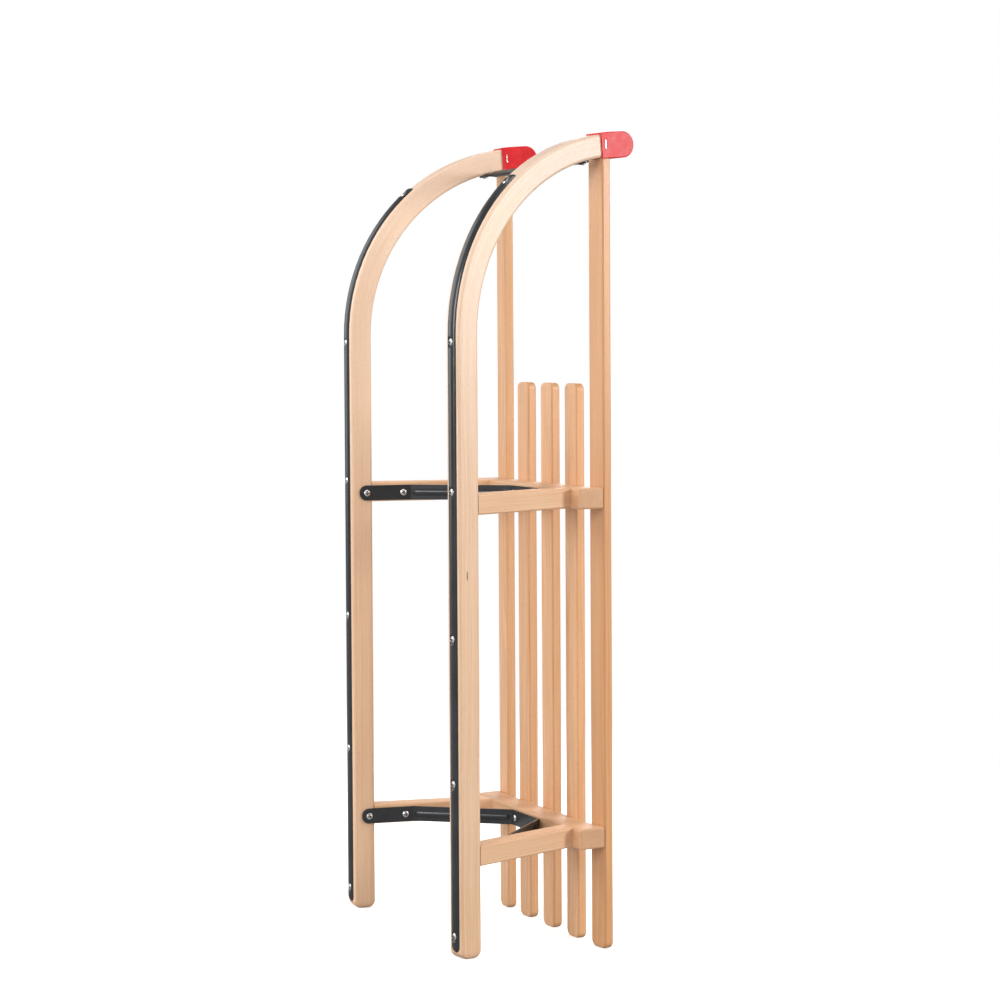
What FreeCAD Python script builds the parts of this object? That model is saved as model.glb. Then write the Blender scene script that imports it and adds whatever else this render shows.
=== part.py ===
import FreeCAD, Part
import math
import os

from FreeCAD import Placement, Rotation, Vector

# Wooden toboggan of the Davos type: two bent runners, four splayed legs, two crossbars and a slatted seat.
#
# It is drawn in the sled's own axes, in millimetres: +X from the soles to the seat, +Y to the rider's right,
# +Z the way it travels, Z = 0 at the rear ends of the runners. The finished sled stands on its rear end, so
# it is leaned over until the seat slats and both runners touch the ground (see place_on_ground).
#
# Each side assembly lies in a plane that is tilted outwards. Its own axes are u (from the sole to the seat),
# v (outwards, 0 at the runner's outer face) and z. The right side is drawn and the left one is its mirror.

# Side assemblies
TILT = math.radians(6.5)         # lean of each side assembly, soles outwards
HALF_TRACK = 160.8               # centre line to the runner's outer face, at the sole

# Runners
RUNNER_DEPTH = 28.0              # sole to seat side
RUNNER_WIDTH = 27.0
RUNNER_ROUND = 3.5               # rounding of the long edges
RUNNER_HEEL = 9.0                # rounding of the rear end's corners
BEND_START = 735.0               # z where the bend begins
BEND_RADIUS = 244.0              # outer face
BEND_ANGLE = math.radians(85.5)
HORN_LENGTH = 16.0               # straight stretch after the bend, before the round tip

# Sole steels
STEEL_WIDTH = 16.0
STEEL_HEIGHT = 4.0
STEEL_START = 7.0 + STEEL_WIDTH / 2
STEEL_END_ANGLE = math.radians(49.0)
SOLE_SCREW_Z = (26.0, 206.0, 377.0, 550.0, 726.0)
TIP_SCREW_ANGLE = math.radians(47.4)
DIMPLE_FLOOR = 4.5               # radius of the flat the screw's head sits on
DIMPLE_MOUTH = 7.3
DIMPLE_DEPTH = 2.6

# Seat
SEAT_X = 206.2                   # underside of the middle slats
SLAT_THICK = 12.5
SLAT_WIDTH = 29.5
SLAT_PITCH = 61.3
SLAT_FRONT_Z = 674.0
REAR_OVERHANG = 19.0             # slats and rails reach this far behind the runners
SLAT_CORNER = 8.0                # rounding of the ends, seen from above
SLAT_ROUND = 2.5                 # rounding of the long edges
RAIL_U = 211.0                   # underside of the side rails
RAIL_WIDTH = 29.3

# Crossbars
BAR_X = 174.9                    # underside
BAR_DEPTH_Z = 25.6
BAR_HALF_LENGTH = 137.5
BAR_ROUND = 2.5
BAR_Z = {"rear": 119.7, "front": 535.1}

# Legs
LEG_THICK = 24.0
LEG_WIDTH_Z = 24.8
LEG_ROUND = 2.5
LEG_TOP_Y = 105.5                # centre of the leg under the crossbar
TENON_THICK = 13.0
TENON_WIDTH_Z = 14.0
TENON_IN_BAR = 20.0
TENON_IN_RUNNER = 16.0

# Braces
STRIP_WIDTH = 19.0
STRIP_THICK = 2.5
STRIP_END_ROUND = 8.9
BRACE_BELOW_BAR = 1.2            # the strip's middle is this far behind the crossbar's
BRACE_END_U = 10.4
BRACE_BEND_U = 78.0              # where the arm leaves the leg
BRACE_FLAT_Y = 34.5              # half the flat under the crossbar
BRACE_FLAT_SCREW_Y = 25.5
BRACE_SCREW_U = (19.8, 67.6)
BEND_INNER_RADIUS = 3.0
BEAD_WIDTH = 9.0
BEAD_HEIGHT = 2.2
BEAD_GAP = (2.0, 3.5)            # plain strip before and after the bead

# Front strut
STRUT_U = 190.0
STRUT_RADIUS = 4.0
STRUT_TAB_WIDTH = 13.0
STRUT_TAB_THICK = 3.0
STRUT_TAB_END_V = -4.5
STRUT_TAB_INNER_V = -33.0
STRUT_TAB_ROUND = 0.8
STRUT_TAPER = 14.0
STRUT_CLEARANCE = 0.11           # the flat tab bridges the hollow of the bend by this much

# Horn caps
CAP_WALL = 2.0
CAP_BACK = 32.5                  # from the middle of the round tip back to the cap's edge
CAP_ROUND = 1.2
HORN_CUT_ANGLE = math.radians(70.0)
STAPLE_BACK = 27.0
STAPLE_RAISE = 1.0
STAPLE_LENGTH = 10.6
STAPLE_WIDTH = 1.3
STAPLE_THICK = 0.6
STAPLE_ROUND = 0.35
STAPLE_CORNER = 0.1              # from the crown's end to the leg
STAPLE_LEG = 7.0

# Fasteners
SCREW_HEAD_RADIUS = 4.1
SCREW_HEAD_RIM = 0.8
SCREW_HEAD_RISE = 1.5
SCREW_SHANK_RADIUS = 1.9
SCREW_POINT_RADIUS = 0.2
SOLE_SCREW_LENGTH = 20.0
BRACE_SCREW_LENGTH = 18.0
STRUT_SCREW_LENGTH = 20.0
SEAT_HEAD_RADIUS = 4.4
SEAT_SHANK_RADIUS = 2.25
SEAT_SCREW_LENGTH = 36.0
HORN_SCREW_LENGTH = 60.0
HORN_SCREW_SUNK = 1.0
RECESS_WIDTH = 1.3
RECESS_SPAN = 5.0
RECESS_DEPTH = 1.7

# Worked out from the sizes above
MID_V = -RUNNER_WIDTH / 2
BEND_INNER = BEND_RADIUS - RUNNER_DEPTH
BEND_MID = BEND_RADIUS - RUNNER_DEPTH / 2
SEAT_TOP_X = SEAT_X + SLAT_THICK
RAIL_TOP_U = RAIL_U + SLAT_THICK

U_AXIS = Vector(1, 0, 0)
V_AXIS = Vector(0, 1, 0)
Z_AXIS = Vector(0, 0, 1)


# Geometry helpers

def right_side(shape):
    """Moves a shape from the side assembly's own axes to the sled's, on the right."""
    moved = shape.copy()
    moved.rotate(Vector(0, 0, 0), Z_AXIS, -math.degrees(TILT))
    moved.translate(Vector(0, HALF_TRACK, 0))
    return moved


def mirrored(shape):
    """The same shape on the other side of the sled."""
    return shape.mirror(Vector(0, 0, 0), V_AXIS)


def side_point(u, v):
    """A point of the right side assembly in the sled's X and Y."""
    x = u * math.cos(TILT) + v * math.sin(TILT)
    y = HALF_TRACK - u * math.sin(TILT) + v * math.cos(TILT)
    return Vector(x, y, 0)


def bend_point(radius, angle, v=0.0):
    """A point round the bend: angle 0 is where it begins, radius is from its centre."""
    return Vector(BEND_RADIUS - radius * math.cos(angle), v, BEND_START + radius * math.sin(angle))


def bend_out(angle):
    """Unit vector away from the bend's centre."""
    return Vector(-math.cos(angle), 0, math.sin(angle))


def bend_along(angle):
    """Unit vector along the bend, towards the tip."""
    return Vector(math.sin(angle), 0, math.cos(angle))


def face_of(edges):
    return Part.Face(Part.Wire(edges))


def polygon_face(points):
    return Part.Face(Part.makePolygon(points + points[:1]))


def line(a, b):
    return Part.LineSegment(a, b).toShape()


def arc(a, middle, b):
    return Part.Arc(a, middle, b).toShape()


def edges_where(shape, test):
    return [edge for edge in shape.Edges if test(edge)]


def round_edges(shape, radius, test):
    return shape.makeFillet(radius, edges_where(shape, test))


def facing(origin, direction):
    """Placement that turns +Z to the direction."""
    return Placement(origin, Rotation(Z_AXIS, direction))


def cut_all(shape, tools):
    for tool in tools:
        shape = shape.cut(tool)
    return shape.removeSplitter()


def group(solids):
    return Part.makeCompound(solids)


def ball_radius(half_width, height):
    """Radius of the ball whose cap is this wide and this high."""
    return (half_width ** 2 + height ** 2) / (2 * height)


# Fasteners: the head's seat is at the origin, the shank goes down -Z

def cross_recess(top):
    long_side = Part.makeBox(RECESS_SPAN, RECESS_WIDTH, RECESS_DEPTH)
    long_side.translate(Vector(-RECESS_SPAN / 2, -RECESS_WIDTH / 2, top - RECESS_DEPTH))
    other = long_side.copy()
    other.rotate(Vector(0, 0, 0), Z_AXIS, 90)
    return long_side.fuse(other)


def shank(radius, length):
    tip = 3 * radius
    body = Part.makeCylinder(radius, length - tip, Vector(0, 0, tip - length))
    point = Part.makeCone(SCREW_POINT_RADIUS, radius, tip, Vector(0, 0, -length))
    return body.fuse(point)


def round_head_screw(length):
    """Raised round head with a cross recess."""
    top = SCREW_HEAD_RIM + SCREW_HEAD_RISE
    ball = ball_radius(SCREW_HEAD_RADIUS, SCREW_HEAD_RISE)
    disc = Part.makeCylinder(SCREW_HEAD_RADIUS, top)
    dome = Part.makeSphere(ball, Vector(0, 0, top - ball))
    head = disc.common(dome)
    return head.fuse(shank(SCREW_SHANK_RADIUS, length)).cut(cross_recess(top)).removeSplitter()


def countersunk_screw(length):
    """Flat head, flush at the origin."""
    depth = SEAT_HEAD_RADIUS - SEAT_SHANK_RADIUS
    head = Part.makeCone(SEAT_SHANK_RADIUS, SEAT_HEAD_RADIUS, depth, Vector(0, 0, -depth))
    return head.fuse(shank(SEAT_SHANK_RADIUS, length)).cut(cross_recess(0)).removeSplitter()


def set_at(shape, origin, direction):
    placed = shape.copy()
    placed.Placement = facing(origin, direction)
    return placed


def round_head_hole(origin, direction, length):
    """Hole for a round-head screw, from just above its seat to its point."""
    return Part.makeCylinder(SCREW_SHANK_RADIUS, length + 1, origin + direction, -direction)


# Runners and what is screwed to their soles, in the side assembly's axes

def horn_point(back, out, v=0.0):
    """A point of the horn: how far behind the middle of its round tip, and how far out of its middle line."""
    centre = bend_point(BEND_MID, BEND_ANGLE, v) + bend_along(BEND_ANGLE) * HORN_LENGTH
    return centre - bend_along(BEND_ANGLE) * back + bend_out(BEND_ANGLE) * out


def horn_tip(offset):
    """Points of the horn's round tip: on the outer face, at the very front and on the inner face."""
    half = RUNNER_DEPTH / 2 + offset
    return horn_point(0, half), horn_point(-half, 0), horn_point(0, -half)


def horn_edges(offset, start):
    """Edges of the horn from an angle on the outer face, round the tip, to the same angle inside."""
    middle = (start + BEND_ANGLE) / 2
    outer, inner = BEND_RADIUS + offset, BEND_INNER - offset
    top, nose, bottom = horn_tip(offset)
    return [
        arc(bend_point(outer, start), bend_point(outer, middle), bend_point(outer, BEND_ANGLE)),
        line(bend_point(outer, BEND_ANGLE), top),
        arc(top, nose, bottom),
        line(bottom, bend_point(inner, BEND_ANGLE)),
        arc(bend_point(inner, BEND_ANGLE), bend_point(inner, middle), bend_point(inner, start)),
    ]


def runner_face():
    """Side view of the bent runner."""
    depth, heel = RUNNER_DEPTH, RUNNER_HEEL
    reach = heel * (1 - math.sqrt(0.5))
    sole_low, rear_sole = Vector(0, 0, heel), Vector(heel, 0, 0)
    rear_seat, seat_low = Vector(depth - heel, 0, 0), Vector(depth, 0, heel)
    return face_of([
        line(sole_low, bend_point(BEND_RADIUS, 0)),
        *horn_edges(0, 0),
        line(bend_point(BEND_INNER, 0), seat_low),
        arc(seat_low, Vector(depth - reach, 0, reach), rear_seat),
        line(rear_seat, rear_sole),
        arc(rear_sole, Vector(reach, 0, reach), sole_low),
    ])


def on_side_face(edge):
    """Is this edge in one of the runner's two flat side faces?"""
    box = edge.BoundBox
    return box.YLength < 1e-6


def plain_runner(extra=0.0):
    """The runner's solid with sharp edges, wider by extra on each side."""
    solid = runner_face().extrude(Vector(0, RUNNER_WIDTH + 2 * extra, 0))
    solid.translate(Vector(0, -RUNNER_WIDTH - extra, 0))
    return solid


def sole_screw_places():
    """Seat of each sole screw on the steel, and the way its head faces."""
    seat = STEEL_HEIGHT - DIMPLE_DEPTH
    places = [(Vector(-seat, MID_V, z), -U_AXIS) for z in SOLE_SCREW_Z]
    out = bend_out(TIP_SCREW_ANGLE)
    places.append((bend_point(BEND_RADIUS + seat, TIP_SCREW_ANGLE, MID_V), out))
    return places


def brace_screw_seat(u):
    """Where a brace screw's head sits on the strip, in the side assembly's axes."""
    if u < RUNNER_DEPTH:
        return Vector(u, -RUNNER_WIDTH - STRIP_THICK, 0)
    return Vector(u, strip_v(u), 0) - strip_screw_way() * STRIP_THICK


def strut_screw_place():
    angle = strut_angle()
    out = bend_out(angle)
    return bend_point(BEND_INNER - STRUT_CLEARANCE, angle, MID_V) - out * STRUT_TAB_THICK, -out


def horn_screw_place():
    """The screw from the horn's top down into the end of the rail, its head sunk below the wood."""
    u = (RAIL_U + RAIL_TOP_U) / 2
    angle = math.acos((BEND_RADIUS - u) / BEND_RADIUS)
    return bend_point(BEND_RADIUS, angle, MID_V) - Z_AXIS * HORN_SCREW_SUNK, Z_AXIS


def runner():
    solid = round_edges(plain_runner(), RUNNER_ROUND, on_side_face)
    tools = [round_head_hole(seat, way, SOLE_SCREW_LENGTH) for seat, way in sole_screw_places()]
    for z in BAR_Z.values():
        seat = brace_screw_seat(BRACE_SCREW_U[0]) + Z_AXIS * (z - BRACE_BELOW_BAR)
        tools.append(round_head_hole(seat, -V_AXIS, BRACE_SCREW_LENGTH))
    seat, way = strut_screw_place()
    tools.append(round_head_hole(seat, way, STRUT_SCREW_LENGTH))
    return cut_all(solid, tools + horn_screw_hole())


def horn_screw_hole():
    """Solids that make the horn screw's hole, with the well above its sunken head."""
    seat, way = horn_screw_place()
    screw = countersunk_screw(HORN_SCREW_LENGTH).fuse(hole_filler())
    well = Part.makeCylinder(SEAT_HEAD_RADIUS, 1.5 * HORN_SCREW_SUNK)
    return [set_at(screw, seat, way), set_at(well, seat, way)]


def hole_filler():
    """Fills the cross recess, so that a screw's own shape can cut its hole."""
    return Part.makeCylinder(RECESS_SPAN / 2 + 0.5, RECESS_DEPTH, Vector(0, 0, -RECESS_DEPTH))


def steel_section(one_half=False):
    """The bead's section at the rear end: both halves, or only the half at one side of its middle."""
    half = STEEL_WIDTH / 2
    z = STEEL_START
    ball = ball_radius(half, STEEL_HEIGHT)
    share = math.asin(half / ball) / 2
    rim_dip = ball * (1 - math.cos(share))
    quarter = Vector(-STEEL_HEIGHT + rim_dip, MID_V + ball * math.sin(share), z)
    crown, rim = Vector(-STEEL_HEIGHT, MID_V, z), Vector(0, MID_V + half, z)
    if one_half:
        middle = Vector(0, MID_V, z)
        return face_of([line(middle, rim), arc(rim, quarter, crown), line(crown, middle)])
    other_rim = Vector(0, MID_V - half, z)
    return face_of([line(other_rim, rim), arc(rim, crown, other_rim)])


def steel_end(angle=None):
    """Half-round end of the bead, at the rear or at an angle round the bend."""
    end = steel_section(True).revolve(Vector(0, MID_V, STEEL_START), U_AXIS, -180 if angle is None else 180)
    if angle is None:
        return end
    end.translate(Vector(0, 0, BEND_START - STEEL_START))
    end.rotate(Vector(BEND_RADIUS, 0, BEND_START), V_AXIS, math.degrees(angle))
    return end


def sole_steel():
    straight = steel_section().extrude(Vector(0, 0, BEND_START - STEEL_START))
    start = steel_section()
    start.translate(Vector(0, 0, BEND_START - STEEL_START))
    bend = start.revolve(Vector(BEND_RADIUS, 0, BEND_START), V_AXIS, math.degrees(STEEL_END_ANGLE))
    solid = straight.fuse([bend, steel_end(), steel_end(STEEL_END_ANGLE)]).removeSplitter()
    tools = []
    for seat, way in sole_screw_places():
        tools.append(Part.makeCone(DIMPLE_FLOOR, DIMPLE_MOUTH, DIMPLE_DEPTH, seat, way))
        tools.append(round_head_hole(seat, way, SOLE_SCREW_LENGTH))
    return cut_all(solid, tools)


def sole_screws():
    screw = round_head_screw(SOLE_SCREW_LENGTH)
    return group([set_at(screw, seat, way) for seat, way in sole_screw_places()])


# Seat

def rounded_board(length_y, z_low, z_high, corner, thick):
    """A board with round-cornered ends: X is its thickness, Y its width, centred on Y = 0."""
    half = length_y / 2
    blank = Part.makeBox(thick, length_y, z_high - z_low, Vector(0, -half, z_low))
    blank = round_edges(blank, corner, lambda e: e.BoundBox.XLength > thick / 2)
    return round_edges(blank, SLAT_ROUND, lambda e: e.BoundBox.XLength < 1e-6)


def seat_screw_cutter():
    return countersunk_screw(SEAT_SCREW_LENGTH).fuse(hole_filler())


def seat_slat(y):
    board = rounded_board(SLAT_WIDTH, -REAR_OVERHANG, SLAT_FRONT_Z, SLAT_CORNER, SLAT_THICK)
    board.translate(Vector(SEAT_X, y, 0))
    places = [Vector(SEAT_TOP_X, y, z) for z in BAR_Z.values()]
    return cut_all(board, [set_at(seat_screw_cutter(), place, U_AXIS) for place in places])


def side_rail():
    """In the side assembly's axes: it runs up to the underside of the horn, between the lips of its cap."""
    past_horn = BEND_START + BEND_RADIUS
    board = rounded_board(RAIL_WIDTH, -REAR_OVERHANG, past_horn, SLAT_CORNER, SLAT_THICK)
    board.translate(Vector(RAIL_U, -RAIL_WIDTH / 2, 0))
    size = 2 * RAIL_WIDTH
    above = Part.makeBox(size, size, size, Vector(RAIL_U - SLAT_THICK, -0.75 * size, BEND_START + BEND_MID))
    beside_cap = horn_solid(CAP_WALL, RUNNER_WIDTH).cut(horn_solid(CAP_WALL, 0))
    tools = [horn_solid(0, RUNNER_WIDTH), beside_cap, above]
    for z in BAR_Z.values():
        tools.append(set_at(seat_screw_cutter(), Vector(RAIL_TOP_U, -RAIL_WIDTH / 2, z), U_AXIS))
    return cut_all(board, tools + horn_screw_hole())


def seat_screws(z):
    screw = countersunk_screw(SEAT_SCREW_LENGTH)
    solids = [set_at(screw, Vector(SEAT_TOP_X, i * SLAT_PITCH, z), U_AXIS) for i in (-1, 0, 1)]
    in_rail = right_side(set_at(screw, Vector(RAIL_TOP_U, -RAIL_WIDTH / 2, z), U_AXIS))
    return group(solids + [in_rail, mirrored(in_rail)])


# Legs and crossbars, in the sled's axes

LEG_FOOT = side_point(RUNNER_DEPTH, MID_V)
LEG_TOP = Vector(BAR_X, LEG_TOP_Y, 0)
LEG_ALONG = (LEG_TOP - LEG_FOOT).normalize()
LEG_ACROSS = Vector(-LEG_ALONG.y, LEG_ALONG.x, 0)
FOOT_LINE = side_point(RUNNER_DEPTH, 0) - side_point(RUNNER_DEPTH, -1)


def slab(points, z, width):
    """A prism on points in the XY plane, centred on z."""
    solid = polygon_face(points).extrude(Vector(0, 0, width))
    solid.translate(Vector(0, 0, z - width / 2))
    return solid


def leg_corner(end, end_line, offset):
    """Where a line beside the leg's centre line meets the surface that cuts the leg's end."""
    return end + end_line * (offset / end_line.dot(LEG_ACROSS))


def leg_inner_point(u):
    """The point of the leg's inner face at a height u above the sole, in the side assembly's axes."""
    foot = leg_corner(LEG_FOOT, FOOT_LINE, -LEG_THICK / 2)
    start = to_side(foot)
    way = to_side(foot + LEG_ALONG) - start
    return start + way * ((u - start.x) / way.x)


def to_side(point):
    """A point in the sled's X and Y, in the right side assembly's u and v."""
    x, y = point.x, point.y - HALF_TRACK
    return Vector(x * math.cos(TILT) - y * math.sin(TILT), x * math.sin(TILT) + y * math.cos(TILT), 0)


def tenon(z):
    """The square tenons of a leg, drawn as one bar through its whole length."""
    low = LEG_FOOT - LEG_ALONG * TENON_IN_RUNNER
    high = LEG_TOP + LEG_ALONG * TENON_IN_BAR
    side = LEG_ACROSS * (TENON_THICK / 2)
    return slab([low - side, low + side, high + side, high - side], z, TENON_WIDTH_Z)


def leg(z):
    half = LEG_THICK / 2
    corners = [
        leg_corner(LEG_FOOT, FOOT_LINE, -half),
        leg_corner(LEG_FOOT, FOOT_LINE, half),
        leg_corner(LEG_TOP, V_AXIS, half),
        leg_corner(LEG_TOP, V_AXIS, -half),
    ]
    blank = slab(corners, z, LEG_WIDTH_Z)
    blank = round_edges(blank, LEG_ROUND, lambda e: e.BoundBox.XLength > LEG_THICK)
    solid = blank.fuse(tenon(z))
    tools = [round_head_hole(seat, way, BRACE_SCREW_LENGTH) for seat, way in brace_screw_places(z)[:4:2]]
    return cut_all(solid, tools)


def strip_screw_way():
    """Square to the strip where it lies on the leg, into the wood."""
    low, high = strip_points()[1:3]
    along = (to_side(high) - to_side(low)).normalize()
    return Vector(-along.y, along.x, 0)


def crossbar(z):
    """Its top follows the tilted rails near the ends."""
    inner, outer = side_point(RAIL_U, -RAIL_WIDTH), side_point(RAIL_U, 0)
    slope = (outer.x - inner.x) / (outer.y - inner.y)
    shoulder_y = inner.y - (inner.x - SEAT_X) / slope
    end_x = SEAT_X + (BAR_HALF_LENGTH - shoulder_y) * slope
    end = BAR_HALF_LENGTH
    outline = [
        Vector(BAR_X, -end, 0), Vector(BAR_X, end, 0), Vector(end_x, end, 0),
        Vector(SEAT_X, shoulder_y, 0), Vector(SEAT_X, -shoulder_y, 0), Vector(end_x, -end, 0),
    ]
    solid = slab(outline, z, BAR_DEPTH_Z)
    solid = round_edges(solid, BAR_ROUND, lambda e: e.BoundBox.ZLength < 1e-6 or e.BoundBox.YMin > end - 1
                        or e.BoundBox.YMax < 1 - end)
    holes = [round_head_hole(seat, way, BRACE_SCREW_LENGTH) for seat, way in brace_screw_places(z)[4:]]
    return cut_all(solid, [tenon(z), mirrored(tenon(z)), *seat_screws(z).Solids, *holes])


# Braces

def strip_points():
    """The strip's outer surface on the right, from its end to the middle of the crossbar."""
    leave = leg_inner_point(BRACE_BEND_U)
    return [
        side_point(BRACE_END_U, -RUNNER_WIDTH),
        side_point(RUNNER_DEPTH, -RUNNER_WIDTH),
        side_point(leave.x, leave.y),
        Vector(BAR_X, BRACE_FLAT_Y, 0),
    ]


def strip_v(u):
    """v of the strip's outer surface between the runner and the bend."""
    low, high = (to_side(p) for p in strip_points()[1:3])
    return low.y + (high.y - low.y) * (u - low.x) / (high.x - low.x)


def offset_path(points, distance):
    """The same open path, moved sideways by a distance to its right-hand side."""
    moved = []
    for i, point in enumerate(points):
        ways = []
        if i > 0:
            ways.append((point - points[i - 1]).normalize())
        if i < len(points) - 1:
            ways.append((points[i + 1] - point).normalize())
        normals = [Vector(way.y, -way.x, 0) for way in ways]
        mean = (normals[0] + normals[-1]).normalize()
        moved.append(point + mean * (distance / mean.dot(normals[0])))
    return moved


def capsule(a, b, radius):
    """A round bar from a to b with ball ends."""
    bar = Part.makeCylinder(radius, a.distanceToPoint(b), a, b - a)
    return bar.fuse([Part.makeSphere(radius, a), Part.makeSphere(radius, b)])


def brace(z):
    """The brace of the crossbar at z: one strip bent five times, with a bead pressed into each free arm."""
    z -= BRACE_BELOW_BAR
    lift = Z_AXIS * z
    right = strip_points()
    left = [Vector(p.x, -p.y, 0) for p in reversed(right)]
    outer = right + left
    inner = offset_path(outer, STRIP_THICK)
    solid = slab(outer + inner[::-1], z, STRIP_WIDTH)
    solid = round_strip(solid, outer, inner)
    for a, b in ((inner[2], inner[3]), (inner[5], inner[4])):
        solid = press_bead(solid, a + lift, b + lift)
    holes = brace_screw_places(z + BRACE_BELOW_BAR)
    return cut_all(solid, [round_head_hole(seat, way, BRACE_SCREW_LENGTH) for seat, way in holes])


def round_strip(solid, outer, inner):
    """Rounds the strip's two ends and its bends."""
    def near(edge, points):
        middle = edge.CenterOfMass
        return any(math.hypot(middle.x - p.x, middle.y - p.y) < 0.2 for p in points)

    def upright(edge):
        return edge.BoundBox.ZLength > STRIP_WIDTH / 2

    inside = BEND_INNER_RADIUS
    outside = inside + STRIP_THICK
    tight = [inner[2], inner[5], inner[3], inner[4]]
    wide = [outer[2], outer[5], outer[3], outer[4]]
    solid = round_edges(solid, inside, lambda e: upright(e) and near(e, tight))
    solid = round_edges(solid, outside, lambda e: upright(e) and near(e, wide))
    ends = [(outer[0] + inner[0]) * 0.5, (outer[-1] + inner[-1]) * 0.5]
    return round_edges(solid, STRIP_END_ROUND, lambda e: e.Length < STRIP_THICK * 1.05 and near(e, ends))


def press_bead(solid, a, b):
    """A bead pressed out of the strip's inner surface between two bends, hollow behind."""
    way = (b - a).normalize()
    inward = Vector(-way.y, way.x, 0)
    if inward.dot(Vector(BAR_X / 2, 0, a.z) - a) < 0:
        inward = -inward
    ball = ball_radius(BEAD_WIDTH / 2, BEAD_HEIGHT)
    start = a + way * (BEAD_GAP[0] + BEAD_WIDTH / 2) + inward * (BEAD_HEIGHT - ball)
    end = b - way * (BEAD_GAP[1] + BEAD_WIDTH / 2) + inward * (BEAD_HEIGHT - ball)
    corner = a - inward * (STRIP_THICK / 2) - inward.cross(way) * (STRIP_WIDTH / 2)
    front = Part.makeBox(a.distanceToPoint(b), STRIP_WIDTH, 2 * ball)
    front.Placement = Placement(corner, Rotation(way, inward.cross(way), inward, "XZY"))
    bead = capsule(start, end, ball).common(front)
    return solid.fuse(bead).cut(capsule(start, end, ball - STRIP_THICK))


def brace_screw_places(z):
    """Seat and outward direction of all six screws of the brace on the crossbar at z, in the sled's axes."""
    z -= BRACE_BELOW_BAR
    lift = Z_AXIS * z
    places = []
    in_runner = brace_screw_seat(BRACE_SCREW_U[0])
    in_leg = brace_screw_seat(BRACE_SCREW_U[1])
    for seat, way in ((in_runner, V_AXIS), (in_leg, strip_screw_way())):
        start = side_point(seat.x, seat.y)
        outward = start - side_point(seat.x + way.x, seat.y + way.y)
        places.append((start + lift, outward))
        places.append((Vector(start.x, -start.y, z), Vector(outward.x, -outward.y, 0)))
    for y in (-BRACE_FLAT_SCREW_Y, BRACE_FLAT_SCREW_Y):
        places.append((Vector(BAR_X - STRIP_THICK, y, z), -U_AXIS))
    return places


def brace_screws(z):
    screw = round_head_screw(BRACE_SCREW_LENGTH)
    return group([set_at(screw, seat, way) for seat, way in brace_screw_places(z)])


# Front strut

def strut_angle():
    return math.acos((BEND_RADIUS - STRUT_U) / BEND_INNER)


def strut_tab():
    """Flattened end of the strut, flat on the inside of the bend, in the side assembly's axes."""
    half = STRUT_TAB_WIDTH / 2
    inner_v, centre_v = STRUT_TAB_INNER_V, STRUT_TAB_END_V - half
    face = face_of([
        line(Vector(-half, inner_v, 0), Vector(-half, centre_v, 0)),
        arc(Vector(-half, centre_v, 0), Vector(0, STRUT_TAB_END_V, 0), Vector(half, centre_v, 0)),
        line(Vector(half, centre_v, 0), Vector(half, inner_v, 0)),
        line(Vector(half, inner_v, 0), Vector(-half, inner_v, 0)),
    ])
    tab = face.extrude(Vector(0, 0, STRUT_TAB_THICK))
    return round_edges(tab, STRUT_TAB_ROUND, lambda e: e.BoundBox.ZLength < 1e-6 < e.BoundBox.YMax - inner_v)


def strut_frame():
    """Placement of the tab: its X runs back along the bend, its Z away from the wood."""
    angle = strut_angle()
    along, out = bend_along(angle), bend_out(angle)
    return Placement(bend_point(BEND_INNER - STRUT_CLEARANCE, angle), Rotation(-along, V_AXIS, -out, "ZXY"))


def front_strut():
    tab = strut_tab()
    tab.Placement = strut_frame()
    half, thick = STRUT_TAB_WIDTH / 2, STRUT_TAB_THICK
    places = ((-half, 0), (half, 0), (half, thick), (-half, thick))
    corners = [Vector(x, STRUT_TAB_INNER_V, z) for x, z in places]
    flat_end = Part.makePolygon(corners + corners[:1])
    flat_end.Placement = strut_frame()
    tab, flat_end = right_side(tab), right_side(flat_end)
    middle = flat_end.CenterOfMass
    tube_end = Vector(middle.x, middle.y - STRUT_TAPER, middle.z)
    ring = Part.Wire(Part.makeCircle(STRUT_RADIUS, tube_end, -V_AXIS))
    taper = Part.makeLoft([flat_end, ring], True)
    end = tab.fuse(taper)
    tube = Part.makeCylinder(STRUT_RADIUS, 2 * tube_end.y, tube_end, -V_AXIS)
    solid = tube.fuse([end, mirrored(end)])
    seat, way = strut_screw_place()
    hole = right_side(round_head_hole(seat, way, STRUT_SCREW_LENGTH))
    return cut_all(solid, [hole, mirrored(hole)])


def strut_screws():
    seat, way = strut_screw_place()
    screw = right_side(set_at(round_head_screw(STRUT_SCREW_LENGTH), seat, way))
    return group([screw, mirrored(screw)])


# Horn caps

def horn_solid(offset, extra):
    """The front part of the runner made larger all round by offset, and wider by extra on each side."""
    start = HORN_CUT_ANGLE
    back = line(bend_point(BEND_INNER - offset, start), bend_point(BEND_RADIUS + offset, start))
    solid = face_of(horn_edges(offset, start) + [back]).extrude(Vector(0, RUNNER_WIDTH + 2 * extra, 0))
    solid.translate(Vector(0, -RUNNER_WIDTH - extra, 0))
    return solid


def behind_horn(back):
    """Everything further behind the middle of the horn's tip than this."""
    size = 4 * RUNNER_DEPTH
    block = Part.makeBox(size, size, size, Vector(-size / 2, -size / 2, 0))
    block.Placement = facing(horn_point(back, 0, MID_V), -bend_along(BEND_ANGLE))
    return block.copy()


def horn_cap():
    """Thin moulded shell over the horn's tip. Its bottom wall stops at the rail and its side walls don't."""
    shell = round_edges(horn_solid(CAP_WALL, CAP_WALL), CAP_ROUND, on_side_face)
    size = BEND_RADIUS
    rail_notch = Part.makeBox(size, RUNNER_WIDTH, size)
    rail_notch.translate(Vector(RAIL_TOP_U - size, -RUNNER_WIDTH, BEND_START + BEND_MID - size))
    return cut_all(shell, [behind_horn(CAP_BACK), rail_notch, plain_runner(), *horn_screw_hole()])


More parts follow.
